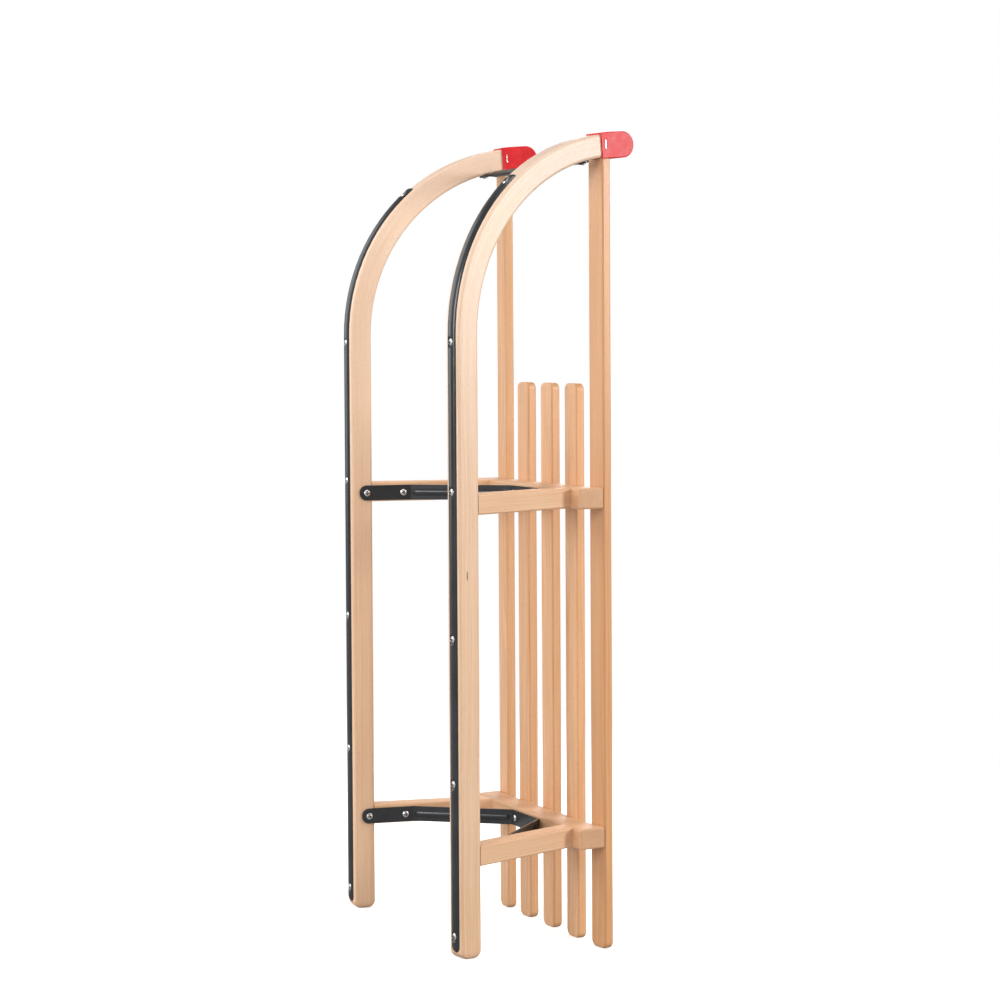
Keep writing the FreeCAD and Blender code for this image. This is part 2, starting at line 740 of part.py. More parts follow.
def staple(v, way):
    """Flat-wire staple: the crown lies on the cap's wall and both legs go through it into the horn."""
    half, wire = STAPLE_LENGTH / 2, STAPLE_THICK
    solid = Part.makeBox(2 * half, STAPLE_WIDTH, wire, Vector(-half, -STAPLE_WIDTH / 2, 0))
    solid = round_edges(solid, STAPLE_ROUND, lambda e: e.CenterOfMass.z > wire - 1e-3)
    for x in (-half + STAPLE_CORNER, half - STAPLE_CORNER - wire):
        corner = Vector(x, -STAPLE_WIDTH / 2, -STAPLE_LEG)
        solid = solid.fuse(Part.makeBox(wire, STAPLE_WIDTH, STAPLE_LEG + wire / 4, corner))
    out = bend_out(BEND_ANGLE)
    place = horn_point(STAPLE_BACK, STAPLE_RAISE, v)
    solid.Placement = Placement(place, Rotation(out, way.cross(out), way, "ZXY"))
    return solid


def cap_staples():
    return [staple(CAP_WALL, V_AXIS), staple(-RUNNER_WIDTH - CAP_WALL, -V_AXIS)]


# Assembly

def build():
    """Every node in the sled's own axes."""
    nodes = {}
    staples = cap_staples()
    tenons = [tenon(z) for z in BAR_Z.values()]
    right = {
        "runner": cut_all(right_side(runner()), tenons),
        "sole_steel": right_side(sole_steel()),
        "sole_screws": right_side(sole_screws()),
        "side_rail": right_side(side_rail()),
        "seat_slat": seat_slat(SLAT_PITCH),
        "horn_cap": right_side(cut_all(horn_cap(), staples)),
        "cap_staples": right_side(group(staples)),
    }
    right["runner"] = cut_all(right["runner"], [right_side(s) for s in staples])
    for end, z in BAR_Z.items():
        right["leg_" + end] = leg(z)
        nodes["crossbar_" + end] = crossbar(z)
        nodes["brace_" + end] = brace(z)
        nodes["brace_screws_" + end] = brace_screws(z)
        nodes["seat_screws_" + end] = seat_screws(z)
    for name, shape in right.items():
        nodes[name + "_right"] = shape
        nodes[name + "_left"] = mirrored(shape)
    nodes["seat_slat_center"] = seat_slat(0)
    nodes["front_strut"] = front_strut()
    nodes["strut_screws"] = strut_screws()
    seat, way = horn_screw_place()
    horn_screw = right_side(set_at(countersunk_screw(HORN_SCREW_LENGTH), seat, way))
    nodes["horn_screws"] = group([horn_screw, mirrored(horn_screw)])
    return nodes


def ground_lean():
    """Angle at which the slats' rounded rear edge and the runners' heels touch flat ground together."""
    heel = side_point(RUNNER_HEEL, -RUNNER_WIDTH + RUNNER_ROUND)
    across = SEAT_X + SLAT_ROUND - heel.x
    drop = RUNNER_HEEL + REAR_OVERHANG - SLAT_ROUND
    gap = math.hypot(across, drop)
    return math.acos((RUNNER_HEEL - SLAT_ROUND) / gap) - math.atan2(across, drop)


def place_on_ground(nodes):
    """Leans the sled so that it stands on its rear end, and puts the origin under its middle."""
    lean = ground_lean()
    for shape in nodes.values():
        shape.rotate(Vector(0, 0, 0), V_AXIS, -math.degrees(lean))
    box = FreeCAD.BoundBox()
    for shape in nodes.values():
        box.add(shape.optimalBoundingBox(False, False))
    shift = Vector(-box.Center.x, -box.Center.y, -box.ZMin)
    for shape in nodes.values():
        shape.translate(shift)
    print("lean %.5f degrees, shift %.4f %.4f %.4f mm" % (math.degrees(lean), shift.x, shift.y, shift.z))
    print("size %.1f x %.1f x %.1f mm" % (box.XLength, box.YLength, box.ZLength))


os.makedirs("parts", exist_ok=True)
sled = build()
place_on_ground(sled)
for name, shape in sorted(sled.items()):
    shape.exportStep("parts/" + name + ".step")
    print("%-24s %2d solids %9.1f mm3 valid %s" % (name, len(shape.Solids), shape.Volume, shape.isValid()))
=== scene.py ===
import math

import bpy
from mathutils import Matrix, Vector

# Looks of the wooden toboggan: light lacquered beech, black painted steel, zinc screws and red plastic caps.
# Every part keeps its CAD shape, so this script holds only materials, light, floor and camera. It counts in
# metres, apart from the patterns on the surfaces, which are laid out in millimetres.
#
# The sled's own axes: X from the soles to the seat, Y to its right, Z the way it travels. In the row frame
# the sled stands on its rear end, so its own axes lean about Y, towards the soles. The camera sees the left
# side nearest.

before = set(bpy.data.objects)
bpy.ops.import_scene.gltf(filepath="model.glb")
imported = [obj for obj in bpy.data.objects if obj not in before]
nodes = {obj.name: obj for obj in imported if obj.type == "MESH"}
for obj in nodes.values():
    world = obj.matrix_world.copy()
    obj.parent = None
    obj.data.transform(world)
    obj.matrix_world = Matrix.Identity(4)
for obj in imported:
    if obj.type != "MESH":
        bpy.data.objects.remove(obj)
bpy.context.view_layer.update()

LEAN = math.radians(5.35437)
GROUND_SHIFT = Vector((-0.0734163, 0.0, -0.0005469))
TO_ROW = Matrix.Translation(GROUND_SHIFT) @ Matrix.Rotation(-LEAN, 4, "Y")

# Camera, in the sled's own axes
CAMERA_PLACE = Vector((-1.2586, -2.6149, 0.7245))
CAMERA_YAW = math.radians(-28.15)
CAMERA_PITCH = math.radians(1.86)
CAMERA_ROLL = math.radians(-0.333)
LENS = 85.25
SENSOR = 36.0
SHIFT_X = -0.00015
SHIFT_Y = -0.0801

# Sizes that the wood grain follows, in millimetres, and how far each side assembly tilts inwards
TILT = math.radians(6.5)
HALF_TRACK = 160.8
RUNNER_DEPTH = 28.0
RUNNER_WIDTH = 27.0
BEND_START = 735.0
BEND_RADIUS = 244.0
RAIL_MID_U = 217.2
SLAT_MID_X = 212.5
SLAT_PITCH = 61.3
BAR_MID_X = 190.5
BAR_Z = {"rear": 119.7, "front": 535.1}
LEG_FOOT = Vector((26.3, 144.2, 0.0))
LEG_TOP = Vector((174.9, 105.5, 0.0))

# Directions in the sled's own axes
TRAVEL = (0, 0, 1)
SIDEWAYS = (0, 1, 0)

WHITE = (1, 1, 1, 1)


# Numbers that vary over a surface

class Number:
    """A number in a material's node tree. Arithmetic on it adds Math nodes."""

    def __init__(self, tree, socket):
        self.tree = tree
        self.socket = socket

    def maths(self, operation, *others):
        return maths(self.tree, operation, self, *others)

    def __add__(self, other):
        return self.maths("ADD", other)

    __radd__ = __add__

    def __sub__(self, other):
        return self.maths("SUBTRACT", other)

    def __rsub__(self, other):
        return maths(self.tree, "SUBTRACT", other, self)

    def __mul__(self, other):
        return self.maths("MULTIPLY", other)

    def __truediv__(self, other):
        return self.maths("DIVIDE", other)

    def above(self, low, high):
        """0 below low, 1 above high, smooth between."""
        inputs = {"Value": self, "From Min": low, "From Max": high}
        node = add_node(self.tree, "MapRange", inputs, interpolation_type="SMOOTHSTEP")
        return Number(self.tree, node.outputs["Result"])

    def swing(self, width):
        """Turns a noise of 0..1 into one that swings round 0, over this width."""
        return (self - 0.5) * width


def feed(tree, socket, value):
    if isinstance(value, Number):
        tree.links.new(value.socket, socket)
    elif isinstance(value, bpy.types.NodeSocket):
        tree.links.new(value, socket)
    else:
        socket.default_value = value


def add_node(tree, kind, inputs=None, **settings):
    node = tree.nodes.new("ShaderNode" + kind)
    for name, value in settings.items():
        setattr(node, name, value)
    for name, value in (inputs or {}).items():
        feed(tree, node.inputs[name], value)
    return node


def maths(tree, operation, *values):
    node = add_node(tree, "Math", operation=operation)
    for socket, value in zip(node.inputs, values):
        feed(tree, socket, value)
    return Number(tree, node.outputs[0])


def joined(tree, x, y, z):
    node = add_node(tree, "CombineXYZ", {"X": x, "Y": y, "Z": z})
    return node.outputs[0]


def noise(tree, place, detail, scale=1.0, roughness=0.5):
    """Noise of 0..1 round 0.5."""
    inputs = {"Vector": place, "Scale": scale, "Detail": detail, "Roughness": roughness}
    return Number(tree, add_node(tree, "TexNoise", inputs).outputs["Fac"])


def line_noise(tree, place, scale, detail):
    """Noise along one number."""
    node = add_node(tree, "TexNoise", {"W": place, "Scale": scale, "Detail": detail}, noise_dimensions="1D")
    return Number(tree, node.outputs["Fac"])


def mixed(tree, share, first, second, blend="MIX"):
    """The first colour, and the second one as far as the share says. Each is a colour or a socket."""
    node = add_node(tree, "Mix", data_type="RGBA", blend_type=blend)
    for index, value in ((0, share), (6, first), (7, second)):
        given = (*value, 1.0) if isinstance(value, tuple) and len(value) == 3 else value
        feed(tree, node.inputs[index], given)
    return node.outputs[2]


def shaded(tree, share, colour, tint):
    """The colour times a tint, as far as the share says."""
    return mixed(tree, share, colour, tint, "MULTIPLY")


def new_material(name):
    material = bpy.data.materials.new(name)
    material.use_nodes = True
    return material, material.node_tree, material.node_tree.nodes["Principled BSDF"]


def vary(tree, shader, colour, roughness, height, relief):
    """Feeds a shader what varies over its surface. The relief is how high its bumps are, in metres."""
    bump = add_node(tree, "Bump", {"Height": height, "Distance": relief})
    feed(tree, shader.inputs["Base Color"], colour)
    feed(tree, shader.inputs["Roughness"], roughness)
    feed(tree, shader.inputs["Normal"], bump.outputs["Normal"])


def settle(shader, constants):
    """Sets what is the same all over the surface."""
    for name, value in constants.items():
        shader.inputs[name].default_value = value


# Places on a surface

def row_place(tree):
    """The surface point in the row frame, in metres."""
    return add_node(tree, "TexCoord").outputs["Object"]


def in_millimetres(tree, place):
    return add_node(tree, "VectorMath", {0: place, "Scale": 1000.0}, operation="SCALE").outputs[0]


def sled_place(tree):
    """The surface point in the sled's own axes, in millimetres."""
    moved = add_node(tree, "VectorMath", {0: row_place(tree), 1: GROUND_SHIFT}, operation="SUBTRACT")
    turned = add_node(tree, "VectorRotate", {"Vector": moved.outputs[0], "Axis": SIDEWAYS, "Angle": LEAN})
    parts = add_node(tree, "SeparateXYZ", {0: in_millimetres(tree, turned.outputs[0])})
    return [Number(tree, socket) for socket in parts.outputs]


def side_place(tree):
    """The place in the axes of its side assembly: up from the sole, outwards, along."""
    x, y, z = sled_place(tree)
    out = y.maths("ABSOLUTE") - HALF_TRACK
    u = x * math.cos(TILT) - out * math.sin(TILT)
    v = x * math.sin(TILT) + out * math.cos(TILT)
    return u, v, z


def outwards(side):
    """Unit vector across a side assembly, away from the sled's middle."""
    return (math.sin(TILT), math.cos(TILT) if side == "right" else -math.cos(TILT), 0)


def leg_way(side):
    """Unit vector along a leg, from the runner up to the crossbar."""
    way = (LEG_TOP - LEG_FOOT).normalized()
    return (way.x, way.y if side == "right" else -way.y, 0)


def facing(tree, way):
    """How squarely a face looks this way or the opposite way, in the sled's own axes."""
    in_row = TO_ROW.to_3x3() @ Vector(way)
    normal = add_node(tree, "NewGeometry").outputs["True Normal"]
    dot = add_node(tree, "VectorMath", {0: normal, 1: in_row}, operation="DOT_PRODUCT")
    return Number(tree, dot.outputs["Value"]).maths("ABSOLUTE")


# Wood grain: how deep, how far across and how far along the grain a point is, in millimetres

def runner_grain(tree):
    """Follows the bend."""
    u, v, z = side_place(tree)
    past = (z - BEND_START).maths("MAXIMUM", 0.0)
    in_front = BEND_RADIUS - u
    radius = (in_front * in_front + past * past).maths("SQRT")
    round_bend = past.maths("ARCTAN2", in_front) * (BEND_RADIUS - RUNNER_DEPTH / 2)
    along = z.maths("MINIMUM", BEND_START) + round_bend
    return BEND_RADIUS - radius - RUNNER_DEPTH / 2, v + RUNNER_WIDTH / 2, along


def rail_grain(tree):
    u, v, z = side_place(tree)
    return u - RAIL_MID_U, v + RUNNER_WIDTH / 2, z


def slat_grain(y_middle):
    def grain(tree):
        x, y, z = sled_place(tree)
        return x - SLAT_MID_X, y - y_middle, z
    return grain


def crossbar_grain(z_middle):
    def grain(tree):
        x, y, z = sled_place(tree)
        return x - BAR_MID_X, z - z_middle, y
    return grain


def leg_grain(z_middle):
    along_way = (LEG_TOP - LEG_FOOT).normalized()

    def grain(tree):
        x, y, z = sled_place(tree)
        from_foot_x = x - LEG_FOOT.x
        from_foot_y = y.maths("ABSOLUTE") - LEG_FOOT.y
        along = from_foot_x * along_way.x + from_foot_y * along_way.y
        across = from_foot_y * along_way.x - from_foot_x * along_way.y
        return across, z - z_middle, along
    return grain


# Beech. How fine a pattern is says how much of it fits in a millimetre: deep, across and along the grain.
# A seed tells one piece's pattern from another's.

WANDER_FINE = (1 / 40, 1 / 40, 1 / 260)
FIBRE_FINE = (0.9, 0.9, 0.012)
BROAD_FINE = (1 / 30, 1 / 30, 1 / 190)
FLECK_FINE = (1.5, 1.5, 0.24)
STREAK_FINE = (0.75, 0.2, 0.006)
PORE_FINE = (4.0, 4.0, 0.5)
SPECK_FINE = (1.6, 1.6, 0.3)

# Growth rings: how far they wander, how much further out they get along a piece, and their noise
RING_WANDER = 14.0
RING_TAPER = 0.006
RING_FINE = 0.42
RING_DETAIL = 3.0

# How many times its seed a pattern is shifted by
RING_SHIFTS = 7
FLECK_SHIFTS = 3

# What each pattern adds to how light the wood is
RING_TONE = 1.3
RING_TONE_LOST_IN_END = 0.8
FIBRE_TONE = 1.1
BROAD_TONE = 0.9

# The part of a noise, low and high, that shows as a mark
FLECK_FROM = (0.59, 0.70)
STREAK_FROM = (0.66, 0.72)
PORE_FROM = (0.60, 0.80)
SPECK_FROM = (0.1, 0.9)

FLECK_COLOUR = (0.50, 0.26, 0.13)
STREAK_COLOUR = (0.52, 0.27, 0.14)
PORE_COLOUR = (0.45, 0.24, 0.12)
BOARD_FLECKS = 0.40
RUNNER_FLECKS = 0.22
STREAK_STRENGTH = 0.30
PORE_STRENGTH = 0.12

# Cut ends: how squarely they face along the grain, and how far from its heel a runner shows its cut end
END_FACING = (0.55, 0.9)
HEEL_LENGTH = (1.0, 9.0)
END_DARK = (0.70, 0.62, 0.55)
END_LIGHT = (0.98, 0.97, 0.96)

# Runners: where along the grain they get paler, which is partly the bent wood's own tone and partly
# painted light for their brightly lit top, and where the horn is darker
PALE_ALONG = (330.0, 960.0)
PALE_TONE = (-0.2, 1.0)
PALENESS_AND_LIGHT = 0.22
HORN_ALONG = (860.0, 1000.0)
HORN_DARKENING = (0.86, 0.85, 0.86)

# Painted shade darkens the rounded edges of boards, and painted light and shade tints their side faces
BOARD_EDGE_SHADE = 0.35
SLAT_EDGE_SHADE = 0.7
EDGE_SHADE_TINT = (0.82, 0.73, 0.62)
SIDE_FACING = (0.7, 1.0)
SIDE_FACE_SHADING = (0.97, 0.93, 0.86)
NEAR_RAIL_SIDE_SHADING = (1.11, 1.07, 1.02)

# The knot on the near runner: its place deep and along, and half its size
KNOTS = {"left": (-3.5, 452.0), "right": None}
KNOT_SIZE = (1.4, 7.0)
KNOT_EDGE = (0.3, 1.0)
KNOT_STRENGTH = 0.85
KNOT_COLOUR = (0.30, 0.12, 0.05)

# Gloss and relief of the lacquered wood
WOOD_ROUGHNESS = 0.40
FIBRE_ROUGHNESS = 0.16
FLECK_ROUGHNESS = 0.06
END_ROUGHNESS = 0.15
FIBRE_HEIGHT = 0.6
PORE_HEIGHT = 0.5
FLECK_HEIGHT = 0.3
WOOD_RELIEF = 0.00012
LACQUER = {"Coat Weight": 0.15, "Coat Roughness": 0.3}

# Each sort of piece: its light and dark wood, and each piece's tint, seed, and place of the tree's heart.
# The tints are painted light and shade: each makes a piece lighter or darker as it is lit.
RUNNER_TONES = ((0.80, 0.545, 0.36), (0.70, 0.43, 0.25))
RUNNER_SHADING = {"left": (1.0, 1.0, 1.0), "right": (1.09, 1.08, 1.07)}
RUNNER_SEED = {"left": 3.1, "right": 8.8}
RUNNER_HEART = {"left": (70.0, 8.0), "right": (70.0, 22.0)}

BOARD_TONES = ((0.80, 0.475, 0.27), (0.67, 0.36, 0.175))
RAIL_SHADING = {"left": (0.82, 0.73, 0.60), "right": (0.98, 0.99, 0.99)}
RAIL_SIDE_SHADING = {"left": NEAR_RAIL_SIDE_SHADING, "right": SIDE_FACE_SHADING}
RAIL_SEED = {"left": 11.9, "right": 16.2}
RAIL_HEART = {"left": (40.0, 22.0), "right": (40.0, -14.0)}
SLAT_SHADING = {"left": (1.07, 1.07, 1.05), "center": (1.0, 1.0, 1.0), "right": (0.98, 0.98, 0.98)}
SLAT_SEED = {"left": 33.7, "center": 37.0, "right": 40.3}
SLAT_HEART = {"left": (46.0, 18.0), "center": (34.0, -2.0), "right": (22.0, -22.0)}
SLAT_MIDDLE = {"left": -SLAT_PITCH, "center": 0.0, "right": SLAT_PITCH}

LEG_TONES = ((0.80, 0.51, 0.31), (0.69, 0.40, 0.22))
LEG_SHADING = {"left": (0.98, 0.97, 0.96), "right": (1.16, 1.17, 1.18)}
LEG_SEED = {"rear_left": 21.3, "rear_right": 24.2, "front_left": 27.4, "front_right": 30.3}
LEG_HEART = (34.0, 26.0)

BAR_TONES = ((0.78, 0.48, 0.285), (0.65, 0.37, 0.20))
BAR_SEED = {"rear": 47.3, "front": 51.2}
BAR_HEART = {"rear": (38.0, 20.0), "front": (38.0, -10.0)}


def grain_noise(tree, place, fine, shift, detail, roughness=0.5):
    """Noise that is drawn out along the grain and shifted along it."""
    deep, across, along = [number * size for number, size in zip(place, fine)]
    return noise(tree, joined(tree, deep, across, along + shift), detail=detail, roughness=roughness)


def growth_rings(tree, place, seed, heart):
    """Noise of the growth rings round the tree's heart, which lies this far off, deep and across."""
    deep, across, along = place
    wander = grain_noise(tree, place, WANDER_FINE, seed, detail=1.0).swing(RING_WANDER)
    off_x = deep - heart[0] + wander
    off_y = across - heart[1]
    ring = (off_x * off_x + off_y * off_y).maths("SQRT") + along * RING_TAPER + seed * RING_SHIFTS
    return line_noise(tree, ring, RING_FINE, RING_DETAIL)


def cut_end(tree, place, grain_way):
    """1 on a piece's cut ends. A runner, with no grain way, shows only the end at its heel."""
    if grain_way:
        return facing(tree, grain_way).above(*END_FACING)
    return 1 - place[2].above(*HEEL_LENGTH)


def paler_and_lit_front(tree, place, tone, light, colour):
    """Paler towards the front, partly wood tone and partly painted light; darker at the horn."""
    paler = tuple(c + (1 - c) * PALENESS_AND_LIGHT for c in light)
    along = place[2]
    colour = mixed(tree, along.above(*PALE_ALONG), colour, mixed(tree, tone.above(*PALE_TONE), light, paler))
    return shaded(tree, along.above(*HORN_ALONG), colour, HORN_DARKENING)


def with_streaks_and_pores(tree, place, seed, pore, colour):
    streak = grain_noise(tree, place, STREAK_FINE, -seed, detail=1.0).above(*STREAK_FROM)
    colour = mixed(tree, streak * STREAK_STRENGTH, colour, STREAK_COLOUR)
    return mixed(tree, pore.above(*PORE_FROM) * PORE_STRENGTH, colour, PORE_COLOUR)


def with_cut_ends(tree, place, seed, end, colour):
    speck = grain_noise(tree, place, SPECK_FINE, seed, detail=3.0, roughness=0.7)
    return shaded(tree, end, colour, mixed(tree, speck.above(*SPECK_FROM), END_DARK, END_LIGHT))


def with_painted_face_shading(tree, across_way, edge_shade, side_shading, colour):
    """Painted shade on rounded edges, facing halfway to the side, and painted light and shade on side faces.
    """
    turned = facing(tree, across_way)
    edge = turned * turned * (1 - turned * turned) * 4
    colour = shaded(tree, edge * edge_shade, colour, EDGE_SHADE_TINT)
    if side_shading:
        colour = shaded(tree, turned.above(*SIDE_FACING), colour, side_shading)
    return colour


def with_knot(tree, place, knot, colour):
    off_deep = (place[0] - knot[0]) / KNOT_SIZE[0]
    off_along = (place[2] - knot[1]) / KNOT_SIZE[1]
    reach = off_deep * off_deep + off_along * off_along
    return mixed(tree, (1 - reach.above(*KNOT_EDGE)) * KNOT_STRENGTH, colour, KNOT_COLOUR)


def beech(name, seed, grain, tones, heart, grain_way=TRAVEL, across_way=SIDEWAYS, edge_shade=BOARD_EDGE_SHADE,
          side_shading=None, flecks=BOARD_FLECKS, knot=None):
    """Lacquered beech. A straight piece has a grain way, and a bent runner has none."""
    material, tree, shader = new_material(name)
    light, dark = tones
    place = grain(tree)
    rings = growth_rings(tree, place, seed, heart)
    fibre = grain_noise(tree, place, FIBRE_FINE, seed, detail=4.0, roughness=0.6)
    broad = grain_noise(tree, place, BROAD_FINE, -seed, detail=2.0)
    fleck = grain_noise(tree, place, FLECK_FINE, seed * FLECK_SHIFTS, detail=1.0).above(*FLECK_FROM)
    pore = grain_noise(tree, place, PORE_FINE, 0.0, detail=2.0)
    end = cut_end(tree, place, grain_way)

    ring_tone = rings.swing(RING_TONE - end * RING_TONE_LOST_IN_END)
    tone = 0.5 + ring_tone + fibre.swing(FIBRE_TONE) + broad.swing(BROAD_TONE)
    colour = mixed(tree, tone.above(0.0, 1.0), dark, light)
    # The runner's paler front is partly painted light.
    if not grain_way:
        colour = paler_and_lit_front(tree, place, tone, light, colour)
    colour = mixed(tree, fleck * flecks, colour, FLECK_COLOUR)
    colour = with_streaks_and_pores(tree, place, seed, pore, colour)
    colour = with_cut_ends(tree, place, seed, end, colour)
    # Boards get painted shade on their rounded edges and painted light and shade on their side faces.
    if grain_way:
        colour = with_painted_face_shading(tree, across_way, edge_shade, side_shading, colour)
    if knot:
        colour = with_knot(tree, place, knot, colour)

    roughness = WOOD_ROUGHNESS + fibre.swing(FIBRE_ROUGHNESS) + fleck * FLECK_ROUGHNESS + end * END_ROUGHNESS
    height = fibre * FIBRE_HEIGHT + pore * PORE_HEIGHT - fleck * FLECK_HEIGHT
    vary(tree, shader, colour, roughness, height, WOOD_RELIEF)
    settle(shader, LACQUER)
    return material


def tinted(tones, tint):
    """The light and the dark tone of a piece, times its tint of painted light and shade."""
    return [tuple(c * t for c, t in zip(tone, tint)) for tone in tones]


def dress(name, material):
    nodes[name].data.materials.clear()
    nodes[name].data.materials.append(material)


def dress_runner(side):
    dress("runner_" + side, beech(
        "beech_runner_" + side, RUNNER_SEED[side], runner_grain, tinted(RUNNER_TONES, RUNNER_SHADING[side]),
        RUNNER_HEART[side], grain_way=None, flecks=RUNNER_FLECKS, knot=KNOTS[side]))


def dress_rail(side):
    dress("side_rail_" + side, beech(
        "beech_rail_" + side, RAIL_SEED[side], rail_grain, tinted(BOARD_TONES, RAIL_SHADING[side]),
        RAIL_HEART[side], across_way=outwards(side), side_shading=RAIL_SIDE_SHADING[side]))


def dress_leg(end, side):
    corner = end + "_" + side
    dress("leg_" + corner, beech(
        "beech_leg_" + corner, LEG_SEED[corner], leg_grain(BAR_Z[end]), tinted(LEG_TONES, LEG_SHADING[side]),
        LEG_HEART, grain_way=leg_way(side), across_way=TRAVEL))


def dress_slat(name):
    dress("seat_slat_" + name, beech(
        "beech_slat_" + name, SLAT_SEED[name], slat_grain(SLAT_MIDDLE[name]),
        tinted(BOARD_TONES, SLAT_SHADING[name]), SLAT_HEART[name], edge_shade=SLAT_EDGE_SHADE, side_shading=SIDE_FACE_SHADING))


def dress_crossbar(end):
    dress("crossbar_" + end, beech(
        "beech_crossbar_" + end, BAR_SEED[end], crossbar_grain(BAR_Z[end]), BAR_TONES, BAR_HEART[end],
        grain_way=SIDEWAYS, across_way=TRAVEL))


# Steel and plastic. Their patterns are as fine every way.

STEEL_DARK = (0.015, 0.017, 0.020)
STEEL_LIGHT = (0.024, 0.027, 0.032)
DUST_COLOUR = (0.12, 0.12, 0.12)
DUST_FROM = (0.66, 0.76)
DUST_STRENGTH = 0.35
DUST_ROUGHNESS = 0.15
STEEL_CLOUD = (0.3, 0.7)
STEEL_CLOUD_ROUGHNESS = 0.10
STEEL_ROUGHNESS = 0.30
STEEL_RELIEF = 0.00006
STEEL_PAINT = {"Specular IOR Level": 0.4, "Coat Weight": 0.3, "Coat Roughness": 0.12}

ZINC_COLOUR = (0.68, 0.68, 0.67)
ZINC_ROUGHNESS = 0.33
WIRE_COLOUR = (0.86, 0.86, 0.86)
WIRE_ROUGHNESS = 0.25
MOTTLE_SPREAD = (0.3, 0.7)
MOTTLE_SHADE = 0.82
MOTTLE_ROUGHNESS = 0.2
PLATED_RELIEF = 0.00005
# Painted shade down in a recess: its colour, how it fades, how far it looks, and its samples
RECESS_SHADE_COLOUR = (0.05, 0.05, 0.055)
RECESS_SHADE = (0.45, 0.95)
RECESS_REACH = 0.0018
RECESS_SAMPLES = 8

RED_DARK = (0.57, 0.006, 0.010)
RED_LIGHT = (0.69, 0.014, 0.020)
RED_CLOUD = (0.25, 0.75)
RED_ROUGHNESS = 0.36
RED_CLOUD_ROUGHNESS = 0.2
RED_FINE_HEIGHT = 0.2
RED_RELIEF = 0.0002
SOFT_PLASTIC = {"Specular IOR Level": 0.25, "Subsurface Weight": 0.08, "Subsurface Scale": 0.002}


def painted_steel():
    """Satin charcoal paint with a fine peel and a little dust."""
    material, tree, shader = new_material("painted_steel")
    place = in_millimetres(tree, row_place(tree))
    cloud = noise(tree, place, scale=0.02, detail=3.0)
    peel = noise(tree, place, scale=0.9, detail=2.0)
    dust = noise(tree, place, scale=2.6, detail=2.0).above(*DUST_FROM)
    colour = mixed(tree, cloud.above(*STEEL_CLOUD), STEEL_DARK, STEEL_LIGHT)
    colour = mixed(tree, dust * DUST_STRENGTH, colour, DUST_COLOUR)
    roughness = STEEL_ROUGHNESS + cloud.swing(STEEL_CLOUD_ROUGHNESS) + dust * DUST_ROUGHNESS
    vary(tree, shader, colour, roughness, peel, STEEL_RELIEF)
    settle(shader, STEEL_PAINT)
    return material


def plated_steel(name, tint, roughness):
    """Bright mottled plating, with painted shade down in a recess."""
    material, tree, shader = new_material(name)
    mottle = noise(tree, in_millimetres(tree, row_place(tree)), scale=0.7, detail=3.0)
    open_sky = add_node(tree, "AmbientOcclusion", {"Distance": RECESS_REACH}, samples=RECESS_SAMPLES)
    shade = Number(tree, open_sky.outputs["AO"])
    colour = mixed(tree, mottle.above(*MOTTLE_SPREAD), tuple(c * MOTTLE_SHADE for c in tint), tint)
    colour = mixed(tree, shade.above(*RECESS_SHADE), RECESS_SHADE_COLOUR, colour)
    vary(tree, shader, colour, roughness + mottle.swing(MOTTLE_ROUGHNESS), mottle, PLATED_RELIEF)
    settle(shader, {"Metallic": 1.0})
    return material


def red_plastic():
    """Soft moulded plastic with a slightly uneven gloss."""
    material, tree, shader = new_material("red_plastic")
    place = in_millimetres(tree, row_place(tree))
    cloud = noise(tree, place, scale=0.09, detail=3.0)
    fine = noise(tree, place, scale=1.6, detail=2.0)
    colour = mixed(tree, cloud.above(*RED_CLOUD), RED_DARK, RED_LIGHT)
    roughness = RED_ROUGHNESS + cloud.swing(RED_CLOUD_ROUGHNESS)
    vary(tree, shader, colour, roughness, cloud + fine * RED_FINE_HEIGHT, RED_RELIEF)
    settle(shader, SOFT_PLASTIC)
    return material


# Studio

# Half the floor's side, and how far from the sled it starts and ends its fade to white
FLOOR_REACH = 40.0
FLOOR_FADE = (1.1, 2.6)

# How bright floor and backdrop are: what the camera sees, and what lights the sled
FLOOR_COLOUR = (0.9, 0.9, 0.9)
FLOOR_LIFT = 0.5
FLOOR_ROUGHNESS = 0.9
FLOOR_BOUNCE = (0.45, 0.45, 0.45)
FAR_BOUNCE = 0.35
AMBIENT = 0.44


def add_lamp(name, place, aim_height, width, power, height=None):
    """A soft lamp aimed at the sled at this height. It is round, or an oval where a height is given."""
    data = bpy.data.lights.new(name, "AREA")
    data.shape = "ELLIPSE"
    data.size = width
    data.size_y = height or width
    data.energy = power
    made = bpy.data.objects.new(name, data)
    made.location = place
    towards = Vector((0.0, 0.0, aim_height)) - Vector(place)
    made.rotation_euler = towards.to_track_quat("-Z", "Y").to_euler()
    bpy.context.scene.collection.objects.link(made)


def add_lamps():
    """Four soft lamps round the sled and one overhead, with their power in watts."""
    add_lamp("softbox_top", (-0.2, -0.6, 2.7), 0.6, width=1.0, power=12)
    add_lamp("softbox_right", (2.0, -2.4, 1.5), 0.6, width=0.9, power=58)
    add_lamp("softbox_left", (-2.2, 1.5, 1.4), 0.5, width=3.0, power=54)
    add_lamp("softbox_front", (-2.75, -1.5, 1.2), 0.7, width=0.4, power=36, height=1.7)
    add_lamp("softbox_back", (1.9, 2.1, 1.8), 0.5, width=1.6, power=26)


def camera_ray(tree):
    """1 where the camera sees the surface itself, 0 where it only lights or is reflected by something."""
    return Number(tree, add_node(tree, "LightPath").outputs["Is Camera Ray"])


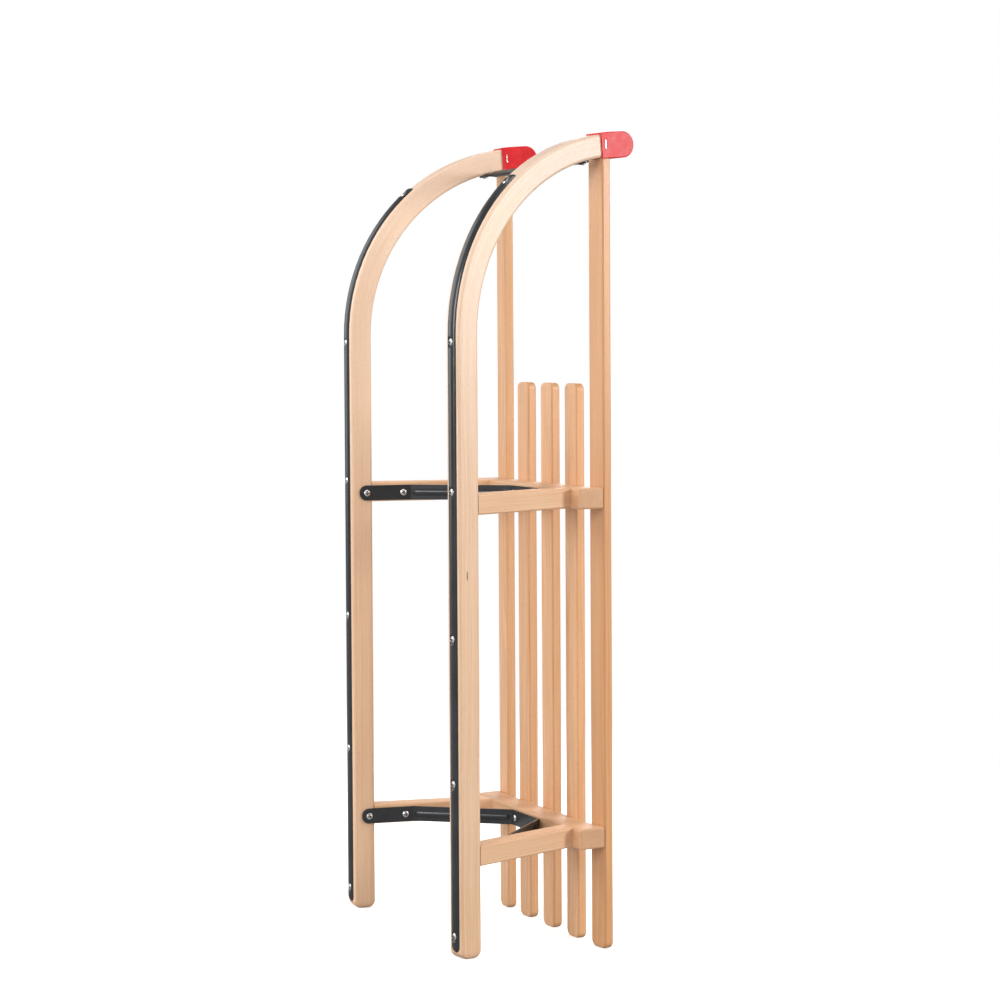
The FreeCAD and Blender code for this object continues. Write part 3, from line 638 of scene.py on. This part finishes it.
def floor_material():
    """Pale and matt, and plain white away from the sled, so that no horizon shows."""
    material, tree, shader = new_material("floor")
    seen = camera_ray(tree)
    feed(tree, shader.inputs["Base Color"], mixed(tree, seen, FLOOR_BOUNCE, FLOOR_COLOUR))
    feed(tree, shader.inputs["Emission Strength"], seen * FLOOR_LIFT)
    settle(shader, {"Emission Color": WHITE, "Roughness": FLOOR_ROUGHNESS})
    far_strength = seen * (1 - FAR_BOUNCE) + FAR_BOUNCE
    white = add_node(tree, "Emission", {"Color": WHITE, "Strength": far_strength})
    from_middle = add_node(tree, "VectorMath", {0: row_place(tree)}, operation="LENGTH")
    faded = Number(tree, from_middle.outputs["Value"]).above(*FLOOR_FADE)
    blend = add_node(tree, "MixShader", {0: faded, 1: shader.outputs[0], 2: white.outputs[0]})
    tree.links.new(blend.outputs[0], tree.nodes["Material Output"].inputs["Surface"])
    return material


def add_floor():
    r = FLOOR_REACH
    data = bpy.data.meshes.new("floor")
    data.from_pydata([(-r, -r, 0), (r, -r, 0), (r, r, 0), (-r, r, 0)], [], [(0, 1, 2, 3)])
    data.materials.append(floor_material())
    made = bpy.data.objects.new("floor", data)
    bpy.context.scene.collection.objects.link(made)


def add_world():
    """White backdrop, and a weaker even light on the sled."""
    made = bpy.data.worlds.new("studio")
    made.use_nodes = True
    tree = made.node_tree
    back = tree.nodes["Background"]
    back.inputs["Color"].default_value = WHITE
    feed(tree, back.inputs["Strength"], camera_ray(tree) * (1 - AMBIENT) + AMBIENT)
    bpy.context.scene.world = made


def add_camera():
    yaw, pitch, roll = CAMERA_YAW, CAMERA_PITCH, CAMERA_ROLL
    ahead = Vector((-math.sin(yaw) * math.cos(pitch), math.cos(yaw) * math.cos(pitch), -math.sin(pitch)))
    level = Vector((math.cos(yaw), math.sin(yaw), 0.0))
    above = level.cross(ahead)
    right = math.cos(roll) * level + math.sin(roll) * above
    up = -math.sin(roll) * level + math.cos(roll) * above
    turn = Matrix((right, up, -ahead)).transposed().to_4x4()
    data = bpy.data.cameras.new("camera")
    data.lens = LENS
    data.sensor_width = SENSOR
    data.shift_x = SHIFT_X
    data.shift_y = SHIFT_Y
    made = bpy.data.objects.new("camera", data)
    made.matrix_world = TO_ROW @ Matrix.Translation(CAMERA_PLACE) @ turn
    bpy.context.scene.collection.objects.link(made)
    bpy.context.scene.camera = made


for side in ("left", "right"):
    dress_runner(side)
    dress_rail(side)
for name in ("left", "center", "right"):
    dress_slat(name)
for end in BAR_Z:
    dress_crossbar(end)
    dress_leg(end, "left")
    dress_leg(end, "right")

steel = painted_steel()
zinc = plated_steel("zinc", ZINC_COLOUR, ZINC_ROUGHNESS)
staple_wire = plated_steel("staple_wire", WIRE_COLOUR, WIRE_ROUGHNESS)
red = red_plastic()
for name in nodes:
    if "screws" in name:
        dress(name, zinc)
    elif "staples" in name:
        dress(name, staple_wire)
    elif name.startswith("horn_cap"):
        dress(name, red)
    elif name.startswith(("sole_steel", "brace", "front_strut")):
        dress(name, steel)

add_camera()
add_floor()
add_world()
add_lamps()
bpy.context.scene.view_settings.view_transform = "Standard"
